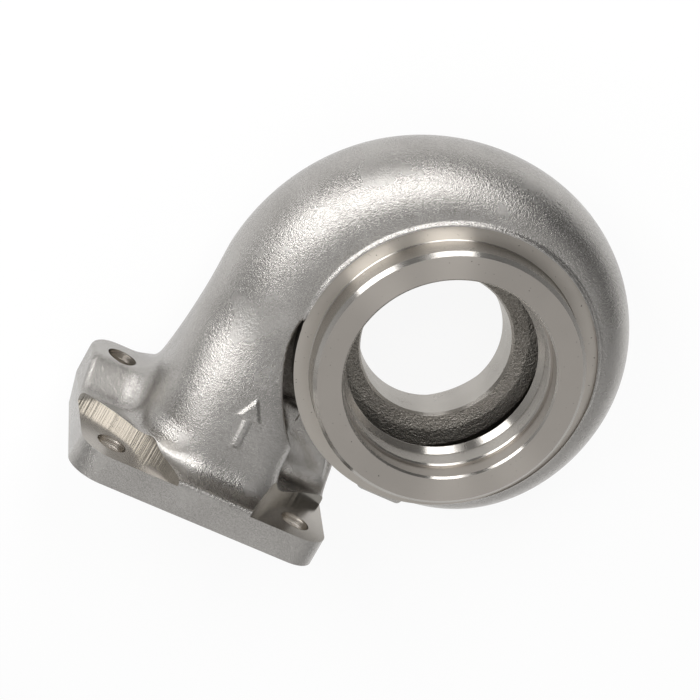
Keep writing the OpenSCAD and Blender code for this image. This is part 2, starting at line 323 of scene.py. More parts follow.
# %% Flow arrow
ARROW_X, ARROW_Y, ARROW_L, ARROW_RAISED = -64.5, -54.0, 21.0, 0.8
SHAFT_HALF_W, HEAD_L, HEAD_INSIDE, ARROW_EDGE = 1.5, 8.5, 2, 1.2
HEAD_WAY = (0.86, 0.5)  # across the head's sloping side
ARROW_ABOVE = 8


def arrow_field():
    """Distance outside a flat arrow that points along Y."""
    u, v = np.abs(X - ARROW_X), Y - ARROW_Y
    tip = ARROW_L / 2
    shaft = np.maximum(u - SHAFT_HALF_W, np.abs(v + HEAD_INSIDE) - tip + HEAD_INSIDE)
    head = np.maximum(u * HEAD_WAY[0] + (v - tip) * HEAD_WAY[1], tip - HEAD_L - v)
    return np.minimum(shaft, head)


on_front = Z > FLANGE_Z + ARROW_ABOVE
snail = snail - ARROW_RAISED * smooth(0.5 - arrow_field() / ARROW_EDGE) * on_front
print("arrow done,", ARROW_L, "mm long and raised by", ARROW_RAISED, "mm")

# %% [markdown]
# ## Hub, flange, web and lug
# Meshes for these could be joined with booleans, but every meeting would be a sharp line. As fields
# they get their fillets for nothing. The hub is a turned shape, so its field is the distance to an
# outline in radius and height. It is poured with about a millimetre and a half of stock on the
# faces that are machined later. The flange is thin in front, where two bolt heads need room, and
# thick behind. The web ties it to the scroll, and the lug gives the lathe's chuck a hold.


# %% Hub and core
CORE_BEHIND = 11.0  # how far the slot's core reaches into the scroll


def hub_field():
    """The turned middle, from the outlet rim up to the register, with its stock."""
    rim_top = RIM_H + (RIM_R - TUBE_R) * math.tan(RIM_SLOPE)
    top, waist_r = FACE_Z + STOCK, INNER_R + 6
    outline = [
        (0, -STOCK), (RIM_R, -STOCK), (RIM_R, RIM_H), (TUBE_R, rim_top), (TUBE_R, rim_top + GROOVE),
        (waist_r, SLOT_Z - 14), (waist_r, SLOT_Z - 4), (SHOULDER_R, SHOULDER_Z - SHOULDER_RIM),
        (SHOULDER_R, SHOULDER_Z + STOCK), (REGISTER_R + STOCK, SHOULDER_Z + STOCK),
        (REGISTER_R + STOCK, top), (0, top)]
    return profile_field(outline, RADIUS, Z)


def core_field():
    """Room that the foundry's core leaves in the middle: the slot and the rough shroud face."""
    out, slot_top, top = INNER_R + CORE_BEHIND, SLOT_Z + SLOT_W, FACE_Z + 3 * STOCK
    outline = [
        (0, -STOCK), (THROAT_R - STOCK, -STOCK), (THROAT_R - STOCK, SLOT_Z - SHROUD_FALL - 0.5),
        (THROAT_MOUTH_R, SLOT_Z - SHROUD_FALL), (SHROUD_R, SLOT_Z), (out, SLOT_Z),
        (out, slot_top), (SLOT_LIP_R, slot_top), (SLOT_LIP_R - STOCK, slot_top + STOCK),
        (SLOT_LIP_R - STOCK, top), (0, top)]
    return profile_field(outline, RADIUS, Z)


hub = hub_field()
print("hub done, stock", STOCK, "mm")

# %% Flange
RISE_Z, RISE_L, FRONT_L, FLANGE_EDGE = -3, 17, 42.5, 2.2


def flange_field():
    """Flange block: skewed towards the back, with a top that rises smoothly behind the middle."""
    up, z = Y - GASKET_Y, Z - FLANGE_Z
    straight = FLANGE_W / 2 - FLANGE_R
    shift = FLANGE_SKEW * np.clip((straight - z) / (2 * straight), 0, 1)
    left = -FLANGE_L / 2 + shift * np.clip(1 - up / SKEW_H, 0, 1)
    right = FLANGE_L / 2 + shift
    middle = X - FLANGE_X - (left + right) / 2
    ends = box_field(middle, z, (right - left) / 2, FLANGE_W / 2, FLANGE_R)
    t = np.clip((RISE_Z - z) / RISE_L, 0, 1)
    front = mix(MIDDLE_H, FRONT_H, np.clip((z - RISE_Z) / FRONT_L, 0, 1))
    rise = REAR_H - MIDDLE_H
    height = front + rise * smooth(t)
    slope = rise * 6 * t * (1 - t) / RISE_L
    top = (up - height) / np.sqrt(1 + slope * slope)
    return np.maximum(keep_both(ends, top, FLANGE_EDGE), -up - STOCK)


flange = flange_field()
print("flange done,", FLANGE_L, "by", FLANGE_W, "mm")

# %% Web between flange and scroll
WEB_THICK, WEB_DROP, WEB_EDGE, WEB_CORNER = 10.0, 36.0, 3, 1.5
NOTCH_RIGHT, NOTCH_UP, NOTCH_R, NOTCH_EDGE = 7, 18, 9, 2
UNEVEN = 0.45  # height of the hand-trimmed wax's low waves


def web_field():
    right, foot = FLANGE_X + FLANGE_L / 2 - 1, SPOT_Y + 2
    left, top = FLANGE_X + 10, -INNER_R - 10
    across, along = X - (left + right) / 2, Y - (foot + top) / 2
    sides = box_field(across, along, (right - left) / 2, (top - foot) / 2, WEB_CORNER)
    uneven = UNEVEN * np.sin(X * 0.3 + 1.5 * np.sin(Y * 0.2)) * np.sin(Y * 0.37 + np.sin(X * 0.25))
    faces = np.abs(Z - FACE_Z + WEB_DROP + WEB_THICK / 2 + uneven) - WEB_THICK / 2
    notch = np.hypot(X - right - NOTCH_RIGHT, Y - foot - NOTCH_UP) - NOTCH_R
    return cut_away(keep_both(sides, faces, WEB_EDGE), notch, NOTCH_EDGE)


web = web_field()
print("web done,", WEB_THICK, "mm thick")

# %% Lug under the shoulder
LUG_X, LUG_HALF_W, LUG_HALF_L, LUG_H, LUG_REACH = 4, 10.5, 15, 10.0, 64.5
LUG_CORNER, LUG_EDGE, LUG_SUNK = 2.5, 1.5, 4


def lug_field():
    base = SHOULDER_Z - SHOULDER_RIM - LUG_H + LUG_SUNK
    flat = box_field(X - LUG_X, Y + LUG_REACH - LUG_HALF_L, LUG_HALF_W, LUG_HALF_L, LUG_CORNER)
    return keep_both(flat, np.abs(Z - base - LUG_H / 2) - LUG_H / 2, LUG_EDGE)


lug = lug_field()
print("lug done, reaches", LUG_REACH, "mm from the axis")

# %% [markdown]
# ## One body
# The fillet between the duct and the flange isn't the same all round. It is wide on most sides,
# nearly sharp at the rear right, where the block's end stands free, and small at the front left,
# where the fillet runs into a pocket. So the size of the fillet is itself a field.

# %% Fillets and the cast body
SHARPER, FRONT_LEFT_FILLET = 0.75, 3.5
WEB_FILLET, HUB_FILLET, LUG_FILLET = 3, 2.5, 2
REAR_FROM, REAR_FADE, RIGHT_FROM, RIGHT_FADE = 12, 14, -18, 16
FRONT_FROM, FRONT_FADE, LEFT_FROM, LEFT_FADE = -2, 10, 4, 16
to_rear = smooth((FLANGE_Z - Z - REAR_FROM) / REAR_FADE)
to_right = smooth((X - FLANGE_X - RIGHT_FROM) / RIGHT_FADE)
to_front = smooth((Z - FLANGE_Z - FRONT_FROM) / FRONT_FADE)
to_left = smooth((FLANGE_X - LEFT_FROM - X) / LEFT_FADE)
rear_right, front_left = to_rear * to_right, to_left * to_front
foot_fillet = mix(FOOT_FILLET * (1 - SHARPER * rear_right), FRONT_LEFT_FILLET, front_left)
body = melt(snail, flange, foot_fillet)
body = melt(body, web, WEB_FILLET)
body = melt(body, hub, HUB_FILLET)
body = melt(body, lug, LUG_FILLET)
cores = np.minimum(passage, core_field()).astype(np.float32)
cast = np.maximum(body, -cores).astype(np.float32)
print("cast body done, volume about", round(int((cast < 0).sum()) * VOXEL ** 3 / 1000), "cm3")

# %% [markdown]
# ## From field to skin
# OpenVDB turns the field into faces where it passes through zero. Two steps then make the skin
# good: every point slides along the field's slope until it lies on the surface, and the same slope
# gives the normals, so that reflections run smoothly over the scroll.

# %% Reading the field between its points
ORIGIN = np.array([a[0] for a in axes])


def sample(grid, points):
    """Value of the grid at any points between its own, by straight mixing in all three ways."""
    p = np.clip((points - ORIGIN) / VOXEL, 0, np.array(grid.shape[:3]) - 1.001)
    i = p.astype(int)
    f = p - i
    total = 0
    for corner in np.ndindex(2, 2, 2):
        weight = np.prod(np.where(corner, f, 1 - f), axis=1)
        value = grid[i[:, 0] + corner[0], i[:, 1] + corner[1], i[:, 2] + corner[2]]
        total = total + (weight[:, None] * value if value.ndim > 1 else weight * value)
    return total


def slope_at(points):
    """Slope of the cast body's field, which points straight out of the surface."""
    step = 0.5 * VOXEL
    rise = [sample(cast, points + s) - sample(cast, points - s) for s in np.eye(3) * step]
    return np.stack(rise, axis=1) / (2 * step)


# %% Skin of the cast body
SLIDES = 2  # two short slides put every point on the surface
LEAST_STEEP = 0.2  # keeps a point near an edge, where the slope fades, from sliding too far


def skin_of(field, name):
    """Mesh of the surface where the field is zero, in metres."""
    grid = openvdb.FloatGrid(background=10.0)
    grid.copyFromArray(field)
    points, triangles, quads = grid.convertToPolygons(isovalue=0.0, adaptivity=0.0)
    points = points * VOXEL + ORIGIN
    for _ in range(SLIDES):
        g = slope_at(points)
        steep = np.maximum((g * g).sum(1), LEAST_STEEP)
        points -= g * (sample(cast, points) / steep)[:, None]
    faces = quads.tolist() + triangles.tolist()
    mesh = bpy.data.meshes.new(name)
    mesh.from_pydata((points * MM).tolist(), [], faces)
    mesh.validate()
    return mesh


casting = bpy.data.objects.new("turbine_housing_casting", skin_of(cast, "turbine_housing_casting"))
bpy.context.scene.collection.objects.link(casting)
print("skin has", len(casting.data.polygons), "faces")

# %% [markdown]
# The grid gives far more faces than a smooth scroll needs. A decimate modifier thins them where the
# skin is flattest, and the normals that are set later hide the larger faces.


# %% Thinning the skin
SKIN_TRIANGLES = 150000


def apply(obj):
    """Replaces the object's mesh with what its modifiers make of it."""
    done = bpy.data.meshes.new_from_object(obj.evaluated_get(bpy.context.evaluated_depsgraph_get()))
    obj.modifiers.clear()
    old, obj.data = obj.data, done
    bpy.data.meshes.remove(old)


thin = casting.modifiers.new("thin", "DECIMATE")
thin.ratio = SKIN_TRIANGLES / (2 * len(casting.data.polygons))
apply(casting)
print("thinned to", len(casting.data.polygons), "faces")

# %% [markdown]
# ## Materials
# Placeholders come first, one for each way that the metal was finished. Their nodes follow below.

# %% Names of the finishes
BLASTED, FROM_CORE_AND_SHADE, SLOT_BROWN_AND_SHADE = "cast_blasted_stainless", "cast_core_stainless", "cast_dark_stainless"
TURNED, MATT_PAINTED_LIGHT, BORED = "turned_satin_stainless", "turned_matt_stainless", "bored_polished_stainless"
MILLED, CHATTERED, DRILLED = "milled_stainless", "chattered_stainless", "drilled_stainless"
FINISHES = [BLASTED, FROM_CORE_AND_SHADE, SLOT_BROWN_AND_SHADE, TURNED, MATT_PAINTED_LIGHT, BORED, MILLED, CHATTERED, DRILLED]
finish = {name: bpy.data.materials.new(name) for name in FINISHES}
for name in (BLASTED, FROM_CORE_AND_SHADE, SLOT_BROWN_AND_SHADE):
    casting.data.materials.append(finish[name])
print(len(finish), "finishes")

# %% [markdown]
# The blast can't reach the skin that the core left in the passage, so it stays pebbly, and it is
# painted darker as shade so that the openings look deep. The gap beside the shoulder gets the same
# finish as painted shade, and the slot is darkest: browned by heat, with painted shade over it. A
# face belongs to the core where the core's field is the one that shapes the surface.

# %% Skin that the blast can't reach, and painted shade
CORE_SKIN, RELIEF_SKIN = 0.6, 0.9  # a face this near to a field's zero belongs to that field
GAP_Y, GAP_HALF_Y, GAP_Z, GAP_HALF_Z = -30, 26, 50, 16
middles = np.empty(len(casting.data.polygons) * 3, np.float32)
casting.data.polygons.foreach_get("center", middles)
middles = middles.reshape(-1, 3).astype(float) / MM
from_core = np.abs(sample(cores, middles)) < CORE_SKIN
# The slot's faces get the darkest finish: brown heat tint with painted shade over it.
in_slot = from_core & (np.hypot(middles[:, 0], middles[:, 1]) > SHROUD_R + 0.2)
# Faces in the gap beside the shoulder take the core's darker finish as painted shade, where shade
# falls in the gap.
in_gap = np.abs(sample(relief.astype(np.float32), middles)) < RELIEF_SKIN
in_gap &= (middles[:, 0] < RELIEF_RIGHT) & (np.abs(middles[:, 1] - GAP_Y) < GAP_HALF_Y)
in_gap &= np.abs(middles[:, 2] - GAP_Z) < GAP_HALF_Z
rows = (from_core + in_slot + in_gap).clip(0, 2).astype(np.int32)
casting.data.polygons.foreach_set("material_index", rows)
print("faces from the core:", int(from_core.sum()), "of them in the slot:", int(in_slot.sum()))

# %% [markdown]
# ## Machining
# Each cut is a closed tool shape that is taken off with a boolean. The shape carries the finish
# that its cutter leaves, and the boolean hands that finish to the new faces.


# %% Tool shapes
def tool(name, points, faces, finishes, indices):
    """Closed mesh given in millimetres, with a finish for each face."""
    mesh = bpy.data.meshes.new(name)
    mesh.from_pydata([tuple(c * MM for c in p) for p in points], [], faces)
    for f in finishes:
        mesh.materials.append(finish[f])
    mesh.polygons.foreach_set("material_index", indices)
    mesh.validate()
    return bpy.data.objects.new(name, mesh)


def lathe(name, profile, segments=288):
    """Tool of revolution round Z. A profile point is (radius, height, finish of the next side)."""
    finishes = sorted({p[2] for p in profile})
    rings, points, faces, indices = [], [], [], []
    for r, z, _ in profile:
        first = len(points)
        if r == 0:
            points.append((0, 0, z))
            rings.append([first] * segments)
            continue
        for k in range(segments):
            a = 2 * math.pi * k / segments
            points.append((r * math.cos(a), r * math.sin(a), z))
        rings.append(list(range(first, first + segments)))
    for i, p in enumerate(profile):
        near, far = rings[i], rings[(i + 1) % len(rings)]
        if near[0] == near[1] and far[0] == far[1]:
            continue
        for k in range(segments):
            n = (k + 1) % segments
            corners = [near[k], near[n], far[n], far[k]]
            face = [c for j, c in enumerate(corners) if c != corners[j - 1]]
            faces.append(tuple(face))
            indices.append(finishes.index(p[2]))
    return tool(name, points, faces, finishes, indices)


def stand_on_y(obj, x, y, z):
    """Turns a tool of revolution so that its axis runs along Y from the given point."""
    turn = Matrix.Translation(Vector((x, y, z)) * MM) @ Matrix.Rotation(-math.pi / 2, 4, "X")
    obj.data.transform(turn)
    return obj


# %% Cutting with a tool
def machine(cutter):
    """Takes the tool's shape off the casting and gives the new faces the tool's finish."""
    bpy.context.scene.collection.objects.link(cutter)
    cut = casting.modifiers.new("cut", "BOOLEAN")
    cut.operation = "DIFFERENCE"
    cut.object = cutter
    cut.solver = "MANIFOLD"
    cut.material_mode = "TRANSFER"
    apply(casting)
    bpy.data.objects.remove(cutter)
    print("machined, faces now", len(casting.data.polygons))


# %% [markdown]
# Three tools of revolution turn the round faces. The first faces off the register and the shoulder,
# the second bores the seat for the centre housing, and the third cuts the throat and the outlet.
# Each overlaps the cast skin a little, because two faces in one plane make ragged edges.

# %% Turning the register, boring the seat and the outlet
OVER = 0.3  # how far the facing tool cuts past the shoulder
CHAMFER = 0.4
clear = FACE_Z + 12
machine(lathe("facing", [
    (0, FACE_Z, TURNED), (REGISTER_R - REGISTER_BEVEL, FACE_Z, BORED),
    (REGISTER_R, FACE_Z - REGISTER_BEVEL, BORED), (REGISTER_R, SHOULDER_Z + CHAMFER, BORED),
    (REGISTER_R + CHAMFER, SHOULDER_Z, MATT_PAINTED_LIGHT), (SHOULDER_R + OVER, SHOULDER_Z, TURNED),
    (SHOULDER_R + OVER, clear, TURNED), (0, clear, TURNED)]))
lip_top = FACE_Z - SLOT_DEPTH + SHIELD_R - SLOT_LIP_R
machine(lathe("boring", [
    (0, FACE_Z + 1, TURNED), (0, SLOT_Z + SLOT_W / 2, TURNED),
    (SLOT_LIP_R, SLOT_Z + SLOT_W / 2, BORED),
    (SLOT_LIP_R, FACE_Z - SLOT_DEPTH + CHAMFER, BORED), (SHIELD_R, lip_top + CHAMFER, BORED),
    (SHIELD_R, FACE_Z - SEAT_DEPTH - 0.6, BORED), (SHIELD_R + 0.6, FACE_Z - SEAT_DEPTH, TURNED),
    (SEAT_R, FACE_Z - SEAT_DEPTH, TURNED), (SEAT_R, FACE_Z - SEAT_BEVEL, BORED),
    (SEAT_R + SEAT_BEVEL, FACE_Z, TURNED), (SEAT_R + SEAT_BEVEL, FACE_Z + 1, TURNED)]))
throat_top = SLOT_Z - SHROUD_FALL
machine(lathe("throat_and_outlet", [
    (0, -1, BORED), (OUTLET_R, -1, BORED), (OUTLET_R, OUTLET_DEPTH, BORED),
    (THROAT_R, throat_top - THROAT_L, BORED), (THROAT_R + 0.5, throat_top - THROAT_L / 2, BORED),
    (THROAT_MOUTH_R - 0.9, throat_top - 1.6, BORED), (THROAT_MOUTH_R, throat_top, BORED),
    (THROAT_MOUTH_R, throat_top + 1.2, BORED), (0, throat_top + 1.2, BORED)]))

# %% [markdown]
# Flat faces are cut with a block that is larger than the part. The two pockets for bolt heads are
# swept by one large cutter, whose edge chatters and leaves upright ridges on their walls.

# %% Milling the gasket face and the bolt-head pockets
POCKET_R, POCKET_H = 62.0, 11.0
POCKET_MIDDLES = [(-73.6, 55.0), (79.4, 55.0)]  # from the flange's middle, well outside the block


def block(name, low_corner, high_corner, made):
    (x0, y0, z0), (x1, y1, z1) = low_corner, high_corner
    points = [(x, y, z) for x in (x0, x1) for y in (y0, y1) for z in (z0, z1)]
    faces = [(0, 1, 3, 2), (4, 6, 7, 5), (0, 4, 5, 1), (2, 3, 7, 6), (0, 2, 6, 4), (1, 5, 7, 3)]
    return tool(name, points, faces, [made], [0] * 6)


machine(block("gasket_face", (-200, GASKET_Y - 30, -50), (100, GASKET_Y, 150), MILLED))
machine(block("outlet_face", (-200, -200, -50), (200, 200, 0), TURNED))
for x, z in POCKET_MIDDLES:
    cutter = lathe("pocket", [(0, 0, MILLED), (POCKET_R, 0, CHATTERED),
                              (POCKET_R, POCKET_H, MILLED), (0, POCKET_H, MILLED)], 720)
    machine(stand_on_y(cutter, FLANGE_X + x, SPOT_Y, FLANGE_Z + z))

# %% Drilling the bolt holes
HOLE_TOP = REAR_H + 8
hole_middles = [(FLANGE_X + sx * BOLT_L / 2, FLANGE_Z + sz * BOLT_W / 2)
                for sx in (-1, 1) for sz in (-1, 1)]
for x, z in hole_middles:
    cutter = lathe("bolt_hole", [(0, -1, DRILLED), (BOLT_R, -1, DRILLED),
                                 (BOLT_R, HOLE_TOP, DRILLED), (0, HOLE_TOP, DRILLED)], 96)
    machine(stand_on_y(cutter, x, GASKET_Y, z))

# %% [markdown]
# ## Normals
# The skin takes its normals from the field, and each turned face takes them from its own axis. So
# both shade as the true surface does, and the edges between them stay sharp.


# %% Normals of a surface of revolution
def round_normals(face_normal, face_middle, corner, axis, middle):
    """Normals of a surface of revolution at its faces' corners."""
    across = [i for i in range(3) if i != axis]
    ray = face_middle[:, across] - middle
    ray /= np.maximum(np.linalg.norm(ray, axis=1), 1e-9)[:, None]
    out = (face_normal[:, across] * ray).sum(1)
    at = corner[:, across] - middle
    at /= np.maximum(np.linalg.norm(at, axis=1), 1e-9)[:, None]
    normal = np.zeros_like(corner)
    normal[:, across] = at * out[:, None]
    normal[:, axis] = face_normal[:, axis]
    return normal


# %% Normals of the skin and of the turned faces
def column(collection, name, width=1, kind=np.float32):
    """One value of every item, such as each vertex's place, as an array."""
    values = np.empty(len(collection) * width, kind)
    collection.foreach_get(name, values)
    return values.reshape(-1, width) if width > 1 else values


def set_normals(mesh):
    """Gives every face corner its own normal, by how its face was made."""
    corners = column(mesh.vertices, "co", 3)[column(mesh.loops, "vertex_index", 1, np.int32)] / MM
    counts = column(mesh.polygons, "loop_total", 1, np.int32)
    face_normal = np.repeat(column(mesh.polygons, "normal", 3), counts, axis=0)
    face_middle = np.repeat(column(mesh.polygons, "center", 3), counts, axis=0) / MM
    made = np.repeat(column(mesh.polygons, "material_index", 1, np.int32), counts)
    normals = face_normal.copy()

    def turn(here, axis, middle):
        normals[here] = round_normals(
            face_normal[here], face_middle[here], corners[here], axis, middle)

    for i, name in enumerate(m.name for m in mesh.materials):
        here = made == i
        if name in (BLASTED, FROM_CORE_AND_SHADE, SLOT_BROWN_AND_SHADE):
            normals[here] = slope_at(corners[here].astype(float))
        elif name in (TURNED, MATT_PAINTED_LIGHT, BORED):
            turn(here, 2, np.zeros(2))
        elif name == DRILLED:
            for x, z in hole_middles:
                near = np.hypot(corners[:, 0] - x, corners[:, 2] - z) < BOLT_R + 1
                turn(here & near, 1, np.array([x, z]))
    normals /= np.maximum(np.linalg.norm(normals, axis=1), 1e-9)[:, None]
    mesh.shade_smooth()
    mesh.normals_split_custom_set(normals.tolist())


set_normals(casting.data)

# %% The part in the frame
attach(casting, "root")
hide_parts("turbine_housing")
print("triangles:", sum(len(p.vertices) - 2 for p in casting.data.polygons))


# %% [markdown]
# ## Colours and nodes
# The part is one metal, so each finish is the same metallic shader with its own colour, roughness
# and relief. The steel's colours are written as sRGB hex values, as a paint program shows them.


# %% Colours and nodes
def colour(code):
    """Linear colour of an sRGB hex value."""
    parts = [int(code[i:i + 2], 16) / 255 for i in (1, 3, 5)]
    return (*[c / 12.92 if c <= 0.04045 else ((c + 0.055) / 1.055) ** 2.4 for c in parts], 1)


def add(tree, kind, inputs=None, **settings):
    """A node with its settings; an input is a value or another node's output."""
    node = tree.nodes.new(kind)
    for key, value in settings.items():
        setattr(node, key, value)
    for key, value in (inputs or {}).items():
        if isinstance(value, bpy.types.NodeSocket):
            tree.links.new(value, node.inputs[key])
        else:
            node.inputs[key].default_value = value
    return node


def start(material):
    """An empty node tree, and the place on the part in its own axes."""
    material.use_nodes = True
    tree = material.node_tree
    tree.nodes.clear()
    return tree, add(tree, "ShaderNodeTexCoord").outputs["Object"]


def end(tree, shader):
    add(tree, "ShaderNodeOutputMaterial", {"Surface": shader})


# %% [markdown]
# ## Cast skin
# The mould leaves low pebbles on a casting, and the blast's grit covers them with a fine grain.
# Photographs of such a skin could be wrapped round the part, but a scroll unwraps badly. Noise in
# the part's own axes needs no unwrapping: one for the pebbles and one for the grain bend the
# reflections, and a third, as wide as a thumb, lets tint and roughness drift as on real metal.
# Real grit marks are about 0.1 mm wide. They are drawn four times as coarse, because the render
# would lose finer ones.

# %% Cast skin
CLOUD_MM = 18.0


def cast_skin(name, dark, light, rough, grain_mm, pebble_mm, depth_mm):
    tree, place = start(finish[name])
    cloud = add(tree, "ShaderNodeTexNoise", {
        "Vector": place, "Scale": 1 / (CLOUD_MM * MM), "Detail": 3.0}).outputs["Fac"]
    pebble = add(tree, "ShaderNodeTexNoise", {
        "Vector": place, "Scale": 1 / (pebble_mm * MM), "Detail": 2.0}).outputs["Fac"]
    grain = add(tree, "ShaderNodeTexNoise", {
        "Vector": place, "Scale": 1 / (grain_mm * MM), "Detail": 3.0}).outputs["Fac"]
    speck = add(tree, "ShaderNodeMapRange", {"Value": grain, "From Min": 0.3, "From Max": 0.7})
    blend = add(tree, "ShaderNodeMath", {0: speck.outputs["Result"], 1: cloud}, operation="ADD")
    half = add(tree, "ShaderNodeMath", {0: blend.outputs[0], 1: 0.5}, operation="MULTIPLY")
    tint = add(tree, "ShaderNodeMix", {0: half.outputs[0], 6: colour(dark), 7: colour(light)},
               data_type="RGBA")
    both = add(tree, "ShaderNodeMath", {0: pebble, 1: grain}, operation="ADD")
    bump = add(tree, "ShaderNodeBump", {
        "Height": both.outputs[0], "Strength": 1.0, "Distance": depth_mm * MM})
    rougher = add(tree, "ShaderNodeMapRange", {
        "Value": cloud, "To Min": rough - 0.04, "To Max": rough + 0.05})
    metal = add(tree, "ShaderNodeBsdfPrincipled", {
        "Base Color": tint.outputs[2], "Metallic": 1.0, "Roughness": rougher.outputs["Result"],
        "Normal": bump.outputs["Normal"]})
    end(tree, metal.outputs["BSDF"])
    print(name, "grain", grain_mm, "mm, pebbles", pebble_mm, "mm")


# Stainless steel, cast and blasted: pale, with a soft sheen that spreads along the scroll's crown.
cast_skin(BLASTED, "#8e8b87", "#cfccc8", 0.26, 0.4, 1.0, 0.17)
# Stainless steel as it left the core, not blasted: dull and coarse, and painted darker as shade, so
# openings and the gap beside the shoulder look deep.
cast_skin(FROM_CORE_AND_SHADE, "#59544e", "#b3aea6", 0.42, 0.6, 1.3, 0.4)
# The same in the slot, browned by the heat of pouring and painted nearly black as shade, because the
# recess behind the lip gets little light: a dark warm band under the machined lip.
cast_skin(SLOT_BROWN_AND_SHADE, "#453c31", "#554a3d", 0.5, 0.6, 2.0, 0.06)

# %% [markdown]
# ## Machined faces
# A cutter leaves fine parallel marks. On a turned face they run round the axis, so the face shows a
# fan of light instead of a mirror image. Real marks are 0.1 mm apart or less, too fine for the
# picture, so two things stand in for them: coarser ridges, half a millimetre apart, that the light
# just catches, and a shader that is told to stretch its reflections across the marks. A milled face
# has straight marks instead, and a drilled hole has rings all the way down. A few dark pores show
# on all of them, where the cut opened the casting.


# %% Machined faces
MACHINED_CLOUD_MM, PORE_MM = 12.0, 1.1


def across_marks(tree, place, way):
    """Distance across the tool marks: round the turbine axis, or along the given way."""
    if way:
        along = add(tree, "ShaderNodeVectorMath", {0: place, 1: way}, operation="DOT_PRODUCT")
        return along.outputs["Value"]
    flat = add(tree, "ShaderNodeVectorMath", {0: place, 1: (1, 1, 0)}, operation="MULTIPLY")
    radius = add(tree, "ShaderNodeVectorMath", {0: flat.outputs["Vector"]}, operation="LENGTH")
    height = add(tree, "ShaderNodeSeparateXYZ", {"Vector": place})
    both = add(tree, "ShaderNodeMath", {0: radius.outputs["Value"], 1: height.outputs["Z"]},
               operation="ADD")
    return both.outputs[0]


def machined(name, dark, light, rough, pitch_mm, depth_mm, brushed, way=None):
    tree, place = start(finish[name])
    lines = add(tree, "ShaderNodeCombineXYZ", {"X": across_marks(tree, place, way)})
    ridges = add(tree, "ShaderNodeTexNoise", {
        "Vector": lines.outputs["Vector"], "Scale": 1 / (pitch_mm * MM), "Detail": 2.0})
    bump = add(tree, "ShaderNodeBump", {
        "Height": ridges.outputs["Fac"], "Strength": 1.0, "Distance": depth_mm * MM})
    cloud = add(tree, "ShaderNodeTexNoise", {
        "Vector": place, "Scale": 1 / (MACHINED_CLOUD_MM * MM), "Detail": 4.0})
    rougher = add(tree, "ShaderNodeMapRange", {
        "Value": cloud.outputs["Fac"], "To Min": rough - 0.05, "To Max": rough + 0.05})
    pores = add(tree, "ShaderNodeTexNoise", {
        "Vector": place, "Scale": 1 / (PORE_MM * MM), "Detail": 1.0})
    clean = add(tree, "ShaderNodeMapRange", {
        "Value": pores.outputs["Fac"], "From Min": 0.2, "From Max": 0.26})
    tint = add(tree, "ShaderNodeMix", {
        0: clean.outputs["Result"], 6: colour(dark), 7: colour(light)}, data_type="RGBA")
    around = add(tree, "ShaderNodeVectorMath", {0: (0, 0, 1), 1: place},
                 operation="CROSS_PRODUCT")
    tangent = add(tree, "ShaderNodeVectorMath", {0: around.outputs["Vector"]},
                  operation="NORMALIZE")
    metal = add(tree, "ShaderNodeBsdfPrincipled", {
        "Base Color": tint.outputs[2], "Metallic": 1.0, "Roughness": rougher.outputs["Result"],
        "Anisotropic": brushed, "Anisotropic Rotation": 0.25, "Tangent": tangent.outputs["Vector"],
        "Normal": bump.outputs["Normal"]})
    end(tree, metal.outputs["BSDF"])
    print(name, "marks", pitch_mm, "mm apart")


# Turned with a sharp tool, fine feed: a level mid grey that hardly changes round the register face.
machined(TURNED, "#4d4a45", "#b3ada6", 0.34, 0.5, 0.01, 0.9)
# Turned with a coarser feed, so the shoulder is more matt than the register; its paler colour is
# painted light that lifts it out of the register wall's shade.
machined(MATT_PAINTED_LIGHT, "#57544e", "#c9c3bb", 0.36, 0.5, 0.02, 0.95)
# Bored and left bright: upright walls flash in narrow stripes from pale to nearly black.
machined(BORED, "#57544e", "#c0bcb6", 0.26, 0.6, 0.004, 1.0)
# Milled flat: smooth, and the clearest mirror on the part.
machined(MILLED, "#57544e", "#aca7a0", 0.18, 0.9, 0.004, 0.0, (1, 0, 0.4))
# Milled with a tool that shook: deep upright ridges, bright and dark in turn.
machined(CHATTERED, "#57544e", "#aba7a0", 0.22, 1.1, 0.35, 0.0, (1, 0, 1))
# Drilled: rings down the hole that break up its shine.
machined(DRILLED, "#57544e", "#c2bcb4", 0.25, 0.5, 0.3, 0.0, (0, 1, 0))

# %% [markdown]
# ## Camera
# A long lens far from the part, from above and a little to the left, with the inlet flange at the
# lower left of the picture. Its place and turn were worked out from the register's circles, the
# flange's corners and the bolt holes, so they aren't round numbers.

# %% Camera
PICTURE = 700
FOCAL_PX = 3200
SENSOR_MM = 36
camera_place = Vector((-433.84, 383.29, FACE_Z + 1152.29)) * MM
camera_right = Vector((0.86966, 0.47507, 0.13417))
camera_back = Vector((-0.30551, 0.30446, 0.9022))
camera_up = camera_back.cross(camera_right)
camera = bpy.data.objects.new("camera", bpy.data.cameras.new("camera"))
camera.data.sensor_width = SENSOR_MM
camera.data.lens = SENSOR_MM * FOCAL_PX / PICTURE
camera.data.clip_start, camera.data.clip_end = 0.1, 20
camera.matrix_world = Matrix.Translation(camera_place) @ Matrix(
    (camera_right, camera_up, camera_back)).transposed().to_4x4()
bpy.context.scene.collection.objects.link(camera)
bpy.context.scene.camera = camera
print("lens", round(camera.data.lens, 1), "mm")


# %% [markdown]
# ## Studio
# The part stands on white paper. Bare metal shows its surroundings, so these matter more than the
# lamps' power. A world of one even grey would make the part look like clay. So the room is paler in
# front and overhead than behind, and fades along one direction.

